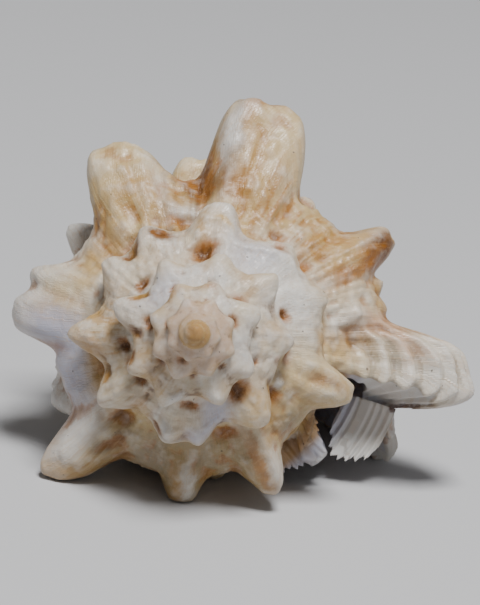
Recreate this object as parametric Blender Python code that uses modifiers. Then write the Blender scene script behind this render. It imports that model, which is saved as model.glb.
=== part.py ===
"""Frog shell: one heavy sea shell with a tall spire, arm-like knobs and an open mouth.

The shell lies with its mouth side down.  The spire points to the front (-Y), the outer
lip with its long arm lies to the right (+X), and +Z is up.  Lengths are in metres.
"""
import math

import bmesh
import bpy
import numpy as np
from mathutils import Matrix, Vector

# ---------------------------------------------------------------- driving dimensions
BODY_RADIUS = 0.0344          # axis to shoulder of the full-grown whorl, without knobs
GROWTH = 0.4356               # natural log of the growth of the spiral per turn
SPIRE_TURNS = 5.6             # turns kept, counted back from the lip
MOUTH_ANGLE = 352.0           # where the ramp ends at the lip, seen from the apex
AXIS_RISE = 23.6              # the apex end of the axis is lifted by this (degrees)
AXIS_SWING = -2.9             # swung sideways by this (degrees)
AXIS_ROLL = 6.9               # and the shell is rolled towards its left side by this (degrees)
MOUTH_DEPTH_TURN = 105.0      # how far the mouth hollow follows the whorl (degrees)
STEP_TURN = 4.0               # spacing of the sweep (degrees)
VOXEL = 0.0009                # size of the cells that weld the sweeps into one body
TARGET_TRIANGLES = 7600       # what the finished body is simplified to
FOOT_FLAT = 0.0008            # how deep the resting points are worn flat

# Outline of the grown whorl from the seam to the end of the canal: distance from the
# axis and drop below the apex, both in body radii.
OUTLINE = [
    (0.635, 0.905), (0.680, 0.985), (0.745, 1.045), (0.830, 1.100), (0.925, 1.175),
    (0.985, 1.260), (1.000, 1.350), (0.975, 1.445), (0.960, 1.530), (0.985, 1.620),
    (0.975, 1.710), (0.920, 1.800), (0.890, 1.880), (0.860, 1.960), (0.775, 2.060),
    (0.710, 2.150), (0.620, 2.240), (0.500, 2.330), (0.400, 2.420), (0.335, 2.520),
    (0.300, 2.620), (0.275, 2.710), (0.240, 2.780), (0.130, 2.810),
]

# How far the growth line runs ahead of the ramp, in degrees, at the same places.
LEAD = [
    (0.00, 4.0), (0.22, 4.0), (0.32, 9.0), (0.42, 24.0), (0.50, 30.0),
    (0.58, 29.0), (0.68, 26.0), (0.80, 18.0), (0.90, 9.0), (1.00, 0.0),
]

# Hollow of the mouth, same units as OUTLINE, outer side first and then back up.
HOLLOW = [
    (0.715, 1.130), (0.800, 1.190), (0.875, 1.275), (0.895, 1.380), (0.875, 1.500),
    (0.880, 1.620), (0.835, 1.740), (0.780, 1.850), (0.690, 1.970), (0.580, 2.090),
    (0.450, 2.200), (0.330, 2.310), (0.255, 2.420), (0.215, 2.540), (0.200, 2.680),
    (0.195, 2.950), (0.110, 2.950), (0.115, 2.700), (0.130, 2.480), (0.150, 2.320),
    (0.190, 2.160), (0.260, 2.010), (0.370, 1.870), (0.480, 1.730), (0.575, 1.590),
    (0.640, 1.460), (0.675, 1.330), (0.690, 1.220),
]
HOLLOW_TAIL = 2.20            # the canal part of the hollow lies below this drop
TAIL_FADE_TURN = 55.0         # the canal part closes within this turn

# Shoulder knobs: turn back from the lip, reach from the axis (body radii at that turn),
# half width in degrees, bluntness.
SHOULDER_KNOBS = [
    (1.4, 1.416, 8.0, 3.5), (37.9, 1.205, 5.4, 2.6), (81.7, 1.517, 11.6, 4.2),
    (124.0, 1.410, 11.0, 3.0), (164.4, 1.222, 5.0, 2.0), (178.3, 1.296, 7.5, 3.0),
    (229.0, 1.400, 8.5, 3.0), (269.2, 1.222, 6.5, 3.0), (303.1, 1.297, 7.0, 2.8),
    (347.1, 1.286, 7.5, 3.0), (387.4, 1.125, 6.5, 2.2), (413.6, 1.130, 8.0, 2.2),
    (450.4, 1.240, 9.5, 3.0), (484.4, 1.206, 8.0, 2.2), (509.0, 1.212, 8.5, 2.2),
    (545.3, 1.362, 8.0, 2.2), (580.0, 1.302, 8.0, 2.2), (619.2, 1.215, 8.0, 2.2),
    (636.6, 1.200, 7.0, 2.2), (674.9, 1.283, 11.0, 2.6), (725.8, 1.196, 8.0, 2.2),
    (766.1, 1.307, 9.0, 2.2), (801.8, 1.200, 9.0, 2.2), (843.2, 1.250, 8.0, 2.2),
    (887.2, 1.387, 11.0, 2.4), (934.3, 1.268, 10.0, 2.2), (969.4, 1.340, 10.0, 2.2),
    (1016.4, 1.300, 10.0, 2.2), (1052.9, 1.251, 10.0, 2.2), (1109.3, 1.341, 12.0, 2.2),
]

# Lower knob rows: place on the outline (0 to 1), reach above it, half width in degrees.
LOWER_ROWS = [(0.455, 0.110, 6.5), (0.610, 0.070, 6.0), (0.740, 0.045, 6.0)]
LOWER_TURNS = [2, 22, 43, 64, 86, 107, 128, 150, 171, 193, 214, 232, 281, 303, 327, 350]

# Old lips, left standing as ribs: turn back from the lip and height of the rib.
RIBS = [(4.0, 0.045), (232.0, 0.060), (454.0, 0.040)]

# Free sheet of the inner lip: place between the top of the mouth (0) and the canal (1),
# reach from the axis and drop below the apex in body radii, angle seen from the apex.
INNER_LIP = [
    (0.64, 1.14, 332.0), (0.80, 1.20, 312.0), (0.86, 1.32, 312.0), (0.88, 1.46, 316.0),
    (0.80, 1.62, 318.0), (0.68, 1.82, 317.0), (0.52, 2.08, 316.0), (0.36, 2.38, 318.0),
    (0.20, 2.68, 322.0),
]
INNER_LIP_THICK = 0.0021

OUTLINE_STEPS = 46


def remove_all_objects():
    for old in list(bpy.data.objects):
        bpy.data.objects.remove(old, do_unlink=True)


def smooth_line(points, count):
    """Evenly spaced points on a soft curve through the given points."""
    pts = np.array(points, dtype=float)
    ends = np.vstack([2 * pts[0] - pts[1], pts, 2 * pts[-1] - pts[-2]])
    fine = []
    for i in range(1, len(ends) - 2):
        for u in np.linspace(0.0, 1.0, 12, endpoint=False):
            a, b, c, d = ends[i - 1], ends[i], ends[i + 1], ends[i + 2]
            fine.append(0.5 * (2 * b + (c - a) * u + (2 * a - 5 * b + 4 * c - d) * u ** 2
                               + (3 * b - a - 3 * c + d) * u ** 3))
    fine.append(pts[-1])
    fine = np.array(fine)
    run = np.concatenate([[0.0], np.cumsum(np.linalg.norm(np.diff(fine, axis=0), axis=1))])
    wanted = np.linspace(0.0, run[-1], count)
    return np.column_stack([np.interp(wanted, run, fine[:, i]) for i in range(fine.shape[1])])


def size_at(turn):
    return math.exp(-GROWTH * turn / 360.0)


def hump(distance, half_width, bluntness):
    return math.exp(-0.693 * (abs(distance) / half_width) ** bluntness)


def place(turn, reach, drop):
    """Point at a turn back from the lip; reach and drop are in body radii of that turn."""
    scale = BODY_RADIUS * size_at(turn)
    angle = math.radians(MOUTH_ANGLE + turn)
    return Vector((reach * scale * math.cos(angle), drop * scale, reach * scale * math.sin(angle)))


def lead_at(s):
    return float(np.interp(s, [p[0] for p in LEAD], [p[1] for p in LEAD]))


def knob_reach(turn, s, growth_turn):
    """Extra distance from the axis made by the knobs and old lips, in body radii."""
    extra = 0.0
    for centre, reach, half, blunt in SHOULDER_KNOBS:
        gap = turn - centre
        if abs(gap) < 4 * half:
            above = 0.105 if s < 0.27 else 0.060
            extra += (reach - 1.0) * hump(gap, half, blunt) * hump(s - 0.27, above, 2.4)
    for row, height, half in LOWER_ROWS:
        if turn > 365.0:
            break
        for centre in LOWER_TURNS:
            gap = turn - centre
            if abs(gap) < 4 * half:
                extra += height * hump(gap, half, 2.4) * hump(s - row, 0.035, 2.2)
    for centre, height in RIBS:
        gap = growth_turn - centre
        if abs(gap) < 24.0:
            extra += height * hump(gap, 5.0, 2.4) * min(1.0, s / 0.2) * min(1.0, (1.0 - s) / 0.2)
    return extra


def mesh_object(name, vertices, faces):
    mesh = bpy.data.meshes.new(name)
    mesh.from_pydata([tuple(v) for v in vertices], [], faces)
    body = bmesh.new()
    body.from_mesh(mesh)
    bmesh.ops.recalc_face_normals(body, faces=body.faces)
    body.to_mesh(mesh)
    body.free()
    return bpy.data.objects.new(name, mesh)


def closed_sweep(name, rings):
    """Skin a list of equal rings and close both ends with a fan."""
    count = len(rings[0])
    vertices = [v for ring in rings for v in ring]
    faces = []
    for i in range(len(rings) - 1):
        for j in range(count):
            k = (j + 1) % count
            faces.append((i * count + j, i * count + k, (i + 1) * count + k, (i + 1) * count + j))
    for first in (0, (len(rings) - 1) * count):
        middle = sum((Vector(v) for v in vertices[first:first + count]), Vector()) / count
        vertices.append(middle)
        hub = len(vertices) - 1
        for j in range(count):
            faces.append((first + j, first + (j + 1) % count, hub))
    return mesh_object(name, vertices, faces)


def build_whorls():
    outline = smooth_line(OUTLINE, OUTLINE_STEPS)
    places = np.linspace(0.0, 1.0, OUTLINE_STEPS)
    axis_drop = np.linspace(2.75, 0.75, 8)
    rings = []
    for growth_turn in np.arange(0.0, SPIRE_TURNS * 360.0, STEP_TURN):
        ring = []
        for (reach, drop), s in zip(outline, places):
            turn = growth_turn - lead_at(s)
            extra = knob_reach(turn, s, growth_turn)
            ring.append(place(turn, reach + extra, drop - 0.10 * extra))
        for drop in axis_drop:
            ring.append(place(growth_turn, 0.012, drop))
        rings.append(ring)
    return closed_sweep("whorls", rings)


def build_pillar():
    """The solid pillar on the axis, with the left wall of the canal."""
    rings = []
    for drop, radius, lean in [(1.70, 0.18, 0.00), (2.00, 0.18, 0.00), (2.25, 0.18, 0.01),
                               (2.50, 0.175, 0.02), (2.70, 0.165, 0.03), (2.81, 0.12, 0.04)]:
        ring = []
        for step in range(24):
            angle = 2 * math.pi * step / 24
            ring.append(Vector((radius * math.cos(angle) - lean, drop, radius * math.sin(angle) + lean))
                        * BODY_RADIUS)
        rings.append(ring)
    return closed_sweep("pillar", rings)


def build_hollow():
    loop = smooth_line(HOLLOW + HOLLOW[:1], 57)[:-1]
    rings = []
    for turn in np.arange(-52.0, MOUTH_DEPTH_TURN + 0.1, 4.5):
        fade = min(1.0, max(0.0, turn / TAIL_FADE_TURN))
        shrink = 1.0 - 0.55 * max(0.0, (turn - 60.0) / (MOUTH_DEPTH_TURN - 60.0)) ** 2
        ring = []
        for reach, drop in loop:
            if drop > HOLLOW_TAIL:
                drop = HOLLOW_TAIL + (drop - HOLLOW_TAIL) * (1.0 - fade)
                reach = reach + fade * max(0.0, 0.30 - reach) * 0.6
            reach = 0.55 + (reach - 0.55) * shrink
            drop = 1.60 + (drop - 1.60) * shrink
            ring.append(place(turn, reach, drop))
        rings.append(ring)
    return closed_sweep("mouth_hollow", rings)


def build_inner_lip():
    """The sheet that stands free of the body on the inner side of the mouth."""
    edge = smooth_line(INNER_LIP, 22)
    half = INNER_LIP_THICK / 2
    rings = []
    for step, (reach, drop, angle) in enumerate(edge):
        front = []
        back = []
        for w in np.linspace(0.0, 1.0, 9):
            here = math.radians(338.0 + (angle - 338.0) * w ** 1.3)
            radius = (0.10 + (reach - 0.10) * w) * BODY_RADIUS
            height = (drop + 0.05 * (1.0 - w)) * BODY_RADIUS
            centre = Vector((radius * math.cos(here), height, radius * math.sin(here)))
            across = Vector((-math.sin(here), 0.0, math.cos(here)))
            thin = half * (1.0 - 0.45 * w)
            front.append(centre + across * thin)
            back.append(centre - across * thin)
        rings.append(front + back[::-1])
    return closed_sweep("inner_lip", rings)


def rest_matrix():
    """Turns the shell from its own axis (apex towards -Y) to the way it lies."""
    rise = Matrix.Rotation(math.radians(-AXIS_RISE), 4, 'X')
    swing = Matrix.Rotation(math.radians(AXIS_SWING), 4, 'Z')
    roll = Matrix.Rotation(math.radians(-AXIS_ROLL), 4, 'Y')
    return roll @ rise @ swing


def frozen(thing, name):
    """Replace an object by a plain one with its modifiers worked in."""
    bpy.context.view_layer.update()
    graph = bpy.context.evaluated_depsgraph_get()
    mesh = bpy.data.meshes.new_from_object(thing.evaluated_get(graph))
    home = thing.users_collection[0]
    bpy.data.objects.remove(thing, do_unlink=True)
    plain = bpy.data.objects.new(name, mesh)
    home.objects.link(plain)
    return plain


def welded(things, name, cell):
    """Grow several closed meshes into one body by filling them with small cells."""
    both = bmesh.new()
    for thing in things:
        both.from_mesh(thing.data)
    mesh = bpy.data.meshes.new(name)
    both.to_mesh(mesh)
    both.free()
    for thing in things:
        bpy.data.objects.remove(thing, do_unlink=True)
    body = bpy.data.objects.new(name, mesh)
    shape_collection.objects.link(body)
    weld = body.modifiers.new("weld", 'REMESH')
    weld.mode = 'VOXEL'
    weld.voxel_size = cell
    return body


def as_cutter(thing):
    cutter_collection.objects.link(thing)
    thing.hide_render = True
    thing.display_type = 'WIRE'
    return thing


def cut_with(body, name, cutter):
    cut = body.modifiers.new(name, 'BOOLEAN')
    cut.operation = 'DIFFERENCE'
    cut.solver = 'EXACT'
    cut.object = cutter


def surface_material():
    material = bpy.data.materials.new("shell")
    material.use_nodes = True
    surface = material.node_tree.nodes["Principled BSDF"]
    surface.inputs["Base Color"].default_value = (0.72, 0.58, 0.43, 1.0)
    surface.inputs["Roughness"].default_value = 0.38
    surface.inputs["Metallic"].default_value = 0.0
    return material


remove_all_objects()
scene = bpy.context.scene
shape_collection = bpy.data.collections.new("frog_shell")
cutter_collection = bpy.data.collections.new("cutters")
scene.collection.children.link(shape_collection)
scene.collection.children.link(cutter_collection)

solid = welded([build_whorls(), build_pillar()], "solid", VOXEL)
cut_with(solid, "mouth", as_cutter(build_hollow()))
solid = frozen(solid, "solid")
grown = welded([solid, build_inner_lip()], "grown", VOXEL * 0.85)
relax = grown.modifiers.new("relax", 'SMOOTH')
relax.factor = 0.5
relax.iterations = 2
grown = frozen(grown, "grown")

grown.data.transform(rest_matrix())
grown.data.update()
triangles = sum(len(p.vertices) - 2 for p in grown.data.polygons)
thin_out = grown.modifiers.new("thin_out", 'DECIMATE')
thin_out.ratio = min(1.0, TARGET_TRIANGLES / triangles)
shell = frozen(grown, "shell")

# Stand the shell on its lowest points and wear them flat.
corners = np.array([tuple(v.co) for v in shell.data.vertices])
low = corners.min(axis=0)
high = corners.max(axis=0)
shift = Vector((-(low[0] + high[0]) / 2, -(low[1] + high[1]) / 2, -low[2] - FOOT_FLAT))
shell.data.transform(Matrix.Translation(shift))
bpy.ops.mesh.primitive_cube_add(size=1.0, location=(0.0, 0.0, -0.05))
floor_block = bpy.context.object
floor_block.name = "floor_block"
floor_block.scale = (0.4, 0.4, 0.1)
for user in list(floor_block.users_collection):
    user.objects.unlink(floor_block)
cut_with(shell, "wear", as_cutter(floor_block))

for face in shell.data.polygons:
    face.use_smooth = True
shell.data.materials.clear()
shell.data.materials.append(surface_material())
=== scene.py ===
"""Frog shell, seen from its apex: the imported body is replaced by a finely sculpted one."""
import math

import bmesh
import bpy
import numpy as np
from mathutils import Matrix, Vector
from mathutils.bvhtree import BVHTree


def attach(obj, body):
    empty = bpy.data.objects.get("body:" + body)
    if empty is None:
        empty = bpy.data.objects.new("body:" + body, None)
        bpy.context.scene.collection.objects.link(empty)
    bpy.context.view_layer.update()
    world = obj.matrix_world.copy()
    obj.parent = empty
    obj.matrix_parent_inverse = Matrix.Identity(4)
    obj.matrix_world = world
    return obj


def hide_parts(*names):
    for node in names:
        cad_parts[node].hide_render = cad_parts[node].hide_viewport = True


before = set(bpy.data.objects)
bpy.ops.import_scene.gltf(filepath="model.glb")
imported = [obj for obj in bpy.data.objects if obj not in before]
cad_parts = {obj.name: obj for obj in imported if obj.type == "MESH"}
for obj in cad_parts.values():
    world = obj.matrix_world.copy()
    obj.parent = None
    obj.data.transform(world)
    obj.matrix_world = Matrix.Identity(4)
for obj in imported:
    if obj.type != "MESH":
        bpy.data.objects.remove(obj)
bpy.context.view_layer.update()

# ---------------------------------------------------------------- shape
BODY_RADIUS = 0.0344          # axis to shoulder of the full-grown whorl, without knobs
GROWTH = 0.4356               # natural log of the growth of the spiral per turn
SPIRE_TURNS = 7.4             # turns kept, counted back from the lip
MOUTH_ANGLE = 352.0           # where the ramp ends at the lip, seen from the apex
AXIS_RISE = 23.6              # tilt of the axis as the shell lies, in degrees
AXIS_SWING = -2.9             # turn of the axis about the upright
AXIS_ROLL = 6.9               # roll about the direction of the spire
APEX_AT = (-0.010965, -0.046514, 0.039949)
CELL = 0.00036                # size of the cells that weld the body into one skin
SETTLE = 0.0006               # how soon the resting points flatten out
FINE_STEP = 0.00040           # spacing of the sculpted grid

# Outline of the whorl from seam to canal: reach from the axis and drop from the apex.
OUTLINE = [
    (0.635, 0.905), (0.680, 0.985), (0.745, 1.045), (0.830, 1.100), (0.925, 1.175),
    (0.985, 1.260), (1.000, 1.350), (0.975, 1.445), (0.960, 1.530), (0.985, 1.620),
    (0.975, 1.710), (0.920, 1.800), (0.890, 1.880), (0.860, 1.960), (0.775, 2.060),
    (0.710, 2.150), (0.620, 2.240), (0.500, 2.330), (0.400, 2.420), (0.335, 2.520),
    (0.300, 2.620), (0.275, 2.710), (0.240, 2.780), (0.130, 2.810),
]
# How far the growth line runs ahead of the ramp: place along the outline, degrees.
LEAD = [
    (0.00, 4.0), (0.18, 5.0), (0.26, 9.0), (0.32, 12.0), (0.42, 24.0), (0.50, 30.0),
    (0.58, 29.0), (0.68, 26.0), (0.80, 18.0), (0.90, 9.0), (1.00, 0.0),
]
# Outline of the space inside the whorl, in the same measures.
HOLLOW = [
    (0.715, 1.130), (0.800, 1.190), (0.875, 1.275), (0.895, 1.380), (0.875, 1.500),
    (0.880, 1.620), (0.835, 1.740), (0.780, 1.850), (0.690, 1.970), (0.580, 2.090),
    (0.450, 2.200), (0.330, 2.310), (0.255, 2.420), (0.215, 2.540), (0.200, 2.680),
    (0.195, 2.950), (0.110, 2.950), (0.115, 2.700), (0.130, 2.480), (0.150, 2.320),
    (0.190, 2.160), (0.260, 2.010), (0.370, 1.870), (0.480, 1.730), (0.575, 1.590),
    (0.640, 1.460), (0.675, 1.330), (0.690, 1.220),
]
HOLLOW_TAIL = 2.20
TAIL_FADE_TURN = 55.0
MOUTH_DEPTH_TURN = 105.0

# Knobs and arms on the shoulder: turn, reach of the tip, half width in degrees, bluntness.
SHOULDER_KNOBS = [
    (1.0, 1.416, 9.4, 3.8), (37.9, 1.235, 5.0, 2.8), (82.2, 1.517, 12.6, 4.4),
    (124.0, 1.410, 11.0, 3.0), (164.4, 1.222, 5.0, 2.0), (178.3, 1.296, 7.5, 3.0),
    (229.0, 1.400, 8.5, 3.0), (269.2, 1.222, 6.5, 3.0), (303.1, 1.297, 7.0, 2.8),
    (347.1, 1.286, 7.5, 3.0), (387.4, 1.125, 6.5, 1.8), (413.6, 1.130, 8.0, 1.8),
    (450.4, 1.240, 9.5, 3.0), (484.4, 1.206, 8.0, 1.8), (509.0, 1.212, 8.5, 1.8),
    (545.3, 1.362, 8.0, 1.8), (580.0, 1.302, 8.0, 1.8), (619.2, 1.215, 8.0, 1.8),
    (636.6, 1.200, 7.0, 1.8), (674.9, 1.283, 11.0, 2.6), (725.8, 1.196, 8.0, 1.8),
    (766.1, 1.307, 9.0, 1.8), (801.8, 1.200, 9.0, 1.8), (843.2, 1.250, 8.0, 1.8),
    (887.2, 1.387, 11.0, 2.4), (934.3, 1.268, 10.0, 1.8), (969.4, 1.340, 10.0, 1.8),
    (1016.4, 1.300, 10.0, 1.8), (1052.9, 1.251, 10.0, 1.8), (1109.3, 1.341, 12.0, 1.8),
    (1160.0, 1.20, 10.0, 1.8), (1200.0, 1.22, 10.0, 1.8), (1245.0, 1.20, 10.0, 1.8),
    (1290.0, 1.20, 10.0, 1.8), (1330.0, 1.28, 12.0, 1.8), (1375.0, 1.20, 10.0, 1.8),
    (1420.0, 1.22, 11.0, 1.8), (1466.0, 1.20, 11.0, 1.8), (1512.0, 1.22, 11.0, 1.8),
    (1556.0, 1.26, 12.0, 1.8), (1603.0, 1.18, 11.0, 1.8), (1650.0, 1.20, 11.0, 1.8),
    (1698.0, 1.18, 11.0, 1.8), (1745.0, 1.18, 12.0, 1.8), (1795.0, 1.16, 12.0, 1.8),
    (1848.0, 1.14, 12.0, 1.8), (1902.0, 1.12, 12.0, 1.8),
]
# Rows of small knobs below the shoulder: place along the outline, height, half width.
LOWER_ROWS = [(0.455, 0.110, 6.5), (0.610, 0.070, 6.0), (0.740, 0.045, 6.0)]
LOWER_TURNS = [2, 22, 43, 64, 86, 107, 128, 150, 171, 193, 214, 232, 281, 303, 327, 350]
# Old lips: growth turn and height.
RIBS = [(4.0, 0.045), (232.0, 0.060), (454.0, 0.040)]
# Free edge of the inner lip: reach, drop and angle round the axis.
INNER_LIP = [
    (0.64, 1.14, 332.0), (0.80, 1.20, 312.0), (0.86, 1.32, 312.0), (0.88, 1.46, 316.0),
    (0.80, 1.62, 318.0), (0.68, 1.82, 317.0), (0.52, 2.08, 316.0), (0.36, 2.38, 318.0),
    (0.20, 2.68, 322.0),
]
INNER_LIP_THICK = 0.0021
# Turned-out edge of the outer lip: reach from the axis and how far ahead of the ramp it ends.
LIP_FLANGE = [
    (0.80, -24.0), (0.84, -29.0), (0.89, -33.0), (0.94, -33.0), (1.00, -30.5),
    (1.05, -28.0), (1.085, -24.0),
]
# Shield of the inner lip over the old whorl: angle ahead of the ramp and reach of its edge.
SHIELD = [
    (-58.0, 0.72), (-52.0, 0.79), (-46.0, 0.82), (-40.0, 0.86), (-35.0, 0.87),
    (-31.0, 0.79), (-27.0, 0.72), (-21.0, 0.66),
]
ARM_CORD = 0.026              # spacing of the ribs across the long arm of the lip
FLUTE = 0.046                 # spacing of the flutes on the flared lip, along the outline

# Turn, place across the whorl (0 seam, 1 canal), half widths, height in body radii.
LOBES = [
    (92.0, 0.45, 6.0, 0.030, 0.230), (103.0, 0.45, 6.0, 0.030, 0.170),
    (144.4, 0.45, 6.5, 0.034, 0.200),
    (206.0, 0.47, 9.0, 0.060, 0.060), (62.0, 0.45, 5.0, 0.025, 0.050),
]
PITS = [
    (77.5, 0.215, 6.0, 0.042, -0.070), (121.0, 0.215, 4.5, 0.040, -0.045),
    (96.0, 0.165, 4.5, 0.060, -0.050), (349.0, 0.170, 3.0, 0.050, -0.020),
    (35.5, 0.205, 2.8, 0.044, -0.045), (146.0, 0.110, 5.0, 0.035, -0.030),
    (8.8, 0.098, 5.0, 0.020, -0.045), (44.0, 0.055, 3.0, 0.014, -0.025),
    (61.8, 0.070, 3.0, 0.014, -0.025), (104.0, 0.060, 7.0, 0.022, -0.040),
    (118.0, 0.040, 4.0, 0.016, -0.035), (133.0, 0.065, 6.0, 0.020, -0.040),
    (200.0, 0.040, 9.0, 0.030, -0.030), (231.7, 0.080, 6.0, 0.024, -0.050),
    (236.0, 0.135, 4.0, 0.020, -0.030), (293.0, 0.065, 5.0, 0.018, -0.035),
    (328.0, 0.050, 5.0, 0.020, -0.045), (354.7, 0.058, 3.5, 0.012, -0.030),
    (382.9, 0.064, 3.5, 0.015, -0.040), (416.0, 0.205, 4.0, 0.015, -0.025),
    (455.5, 0.085, 6.5, 0.027, -0.075), (478.0, 0.205, 4.0, 0.025, -0.050),
    (496.0, 0.205, 5.0, 0.020, -0.040), (505.5, 0.075, 5.0, 0.014, -0.045),
    (552.8, 0.080, 4.5, 0.022, -0.065), (583.0, 0.078, 5.0, 0.018, -0.050),
    (567.0, 0.205, 4.0, 0.018, -0.030), (630.0, 0.080, 6.0, 0.015, -0.050),
    (612.0, 0.215, 3.5, 0.020, -0.035), (673.0, 0.090, 8.0, 0.030, -0.075),
    (692.0, 0.220, 4.0, 0.018, -0.035), (703.5, 0.076, 4.0, 0.013, -0.035),
    (768.0, 0.045, 5.0, 0.020, -0.050), (803.0, 0.075, 4.0, 0.015, -0.030),
    (845.0, 0.075, 5.0, 0.016, -0.035), (872.0, 0.200, 5.0, 0.020, -0.040),
    (894.0, 0.080, 6.5, 0.026, -0.075), (905.0, 0.170, 4.0, 0.030, -0.040),
    (925.0, 0.215, 4.0, 0.020, -0.045), (943.0, 0.060, 5.0, 0.022, -0.050),
    (990.0, 0.050, 5.0, 0.020, -0.040), (1035.0, 0.060, 5.0, 0.020, -0.035),
    (1108.0, 0.070, 8.0, 0.026, -0.070), (1160.0, 0.070, 6.0, 0.020, -0.040),
    (1250.0, 0.070, 6.0, 0.020, -0.035), (1329.0, 0.080, 8.0, 0.026, -0.060),
]
BEADS = [
    (26.5, 0.275, 2.2, 0.030, 0.055), (20.0, 0.250, 2.0, 0.030, 0.030),
    (43.0, 0.275, 2.4, 0.030, 0.050), (34.0, 0.262, 1.8, 0.020, 0.020),
    (338.0, 0.052, 2.5, 0.013, 0.035), (557.5, 0.092, 2.2, 0.011, 0.050),
    (589.5, 0.083, 2.2, 0.011, 0.045), (634.0, 0.070, 2.2, 0.010, 0.040),
    (618.0, 0.195, 4.0, 0.022, 0.040), (489.0, 0.190, 3.5, 0.020, 0.035),
    (978.0, 0.195, 4.5, 0.024, 0.045), (1013.0, 0.180, 4.5, 0.024, 0.040),
    (460.0, 0.150, 3.0, 0.016, 0.025), (24.0, 0.040, 3.0, 0.016, 0.020),
]
FLAKES = [
    (418.0, 0.165, 9.0, 0.012, 0.034), (406.0, 0.188, 5.0, 0.010, 0.030),
    (432.0, 0.150, 6.0, 0.012, 0.030), (355.0, 0.125, 4.0, 0.030, 0.020),
    (366.0, 0.150, 5.0, 0.025, 0.020), (18.0, 0.130, 3.0, 0.030, 0.030),
    (26.0, 0.120, 3.0, 0.030, 0.020), (440.0, 0.100, 5.0, 0.030, 0.022),
    (395.0, 0.120, 4.0, 0.040, 0.022), (520.0, 0.150, 6.0, 0.014, 0.026),
    (598.0, 0.140, 6.0, 0.012, 0.028), (648.0, 0.180, 5.0, 0.014, 0.026),
    (730.0, 0.150, 6.0, 0.014, 0.024), (790.0, 0.130, 6.0, 0.018, 0.028),
    (860.0, 0.150, 6.0, 0.018, 0.030), (960.0, 0.130, 6.0, 0.018, 0.028),
    (1045.0, 0.140, 7.0, 0.020, 0.028), (212.0, 0.130, 4.0, 0.040, 0.022),
    (148.0, 0.130, 4.0, 0.030, 0.018), (110.0, 0.130, 3.0, 0.030, 0.022),
]
SMOOTH_PATCHES = [
    (190.0, 0.150, 26.0, 0.070, 0.85), (400.0, 0.100, 35.0, 0.100, 0.60),
    (645.0, 0.130, 14.0, 0.070, 0.60),
]

COLOURS = {
    "cream": (204, 180, 132), "white": (214, 211, 206), "lilac": (178, 179, 196),
    "tan": (172, 130, 64), "orange": (152, 92, 14), "brown": (80, 44, 8),
    "dark": (38, 19, 6), "pink": (194, 154, 126), "olive": (104, 86, 46),
    "gold": (190, 150, 68),
}

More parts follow.
